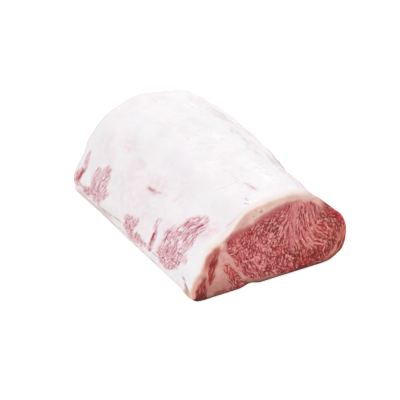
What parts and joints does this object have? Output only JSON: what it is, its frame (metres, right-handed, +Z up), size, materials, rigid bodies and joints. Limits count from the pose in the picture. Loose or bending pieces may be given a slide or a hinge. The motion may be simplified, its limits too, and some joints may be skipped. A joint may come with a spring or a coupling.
{
  "type": "raw beef sirloin joint",
  "caption": "Boneless raw sirloin joint cut square across the loin: a white fat cap round a marbled eye, with thin flank muscles under the cap's low side.",
  "frame": {"origin": "on the board, under the middle of the joint's box", "axes": "+Z up, fat cap on top; +Y along the loin from the front cut to the back cut; +X across, from the thin flank side to the thick chine side"},
  "size_m": [0.2224, 0.268, 0.1179],
  "materials": {
    "beef_fat": "moist, soft sheen",
    "marbled_lean": "moist cut face",
    "plain_lean": "moist cut face"
  },
  "bodies": {
    "root": {"fat_cap": "beef_fat", "eye_muscle": "marbled_lean", "tail_muscle": "marbled_lean", "chine_muscle": "plain_lean", "flank_muscle": "plain_lean", "skirt_muscle": "plain_lean"}
  },
  "joints": []
}
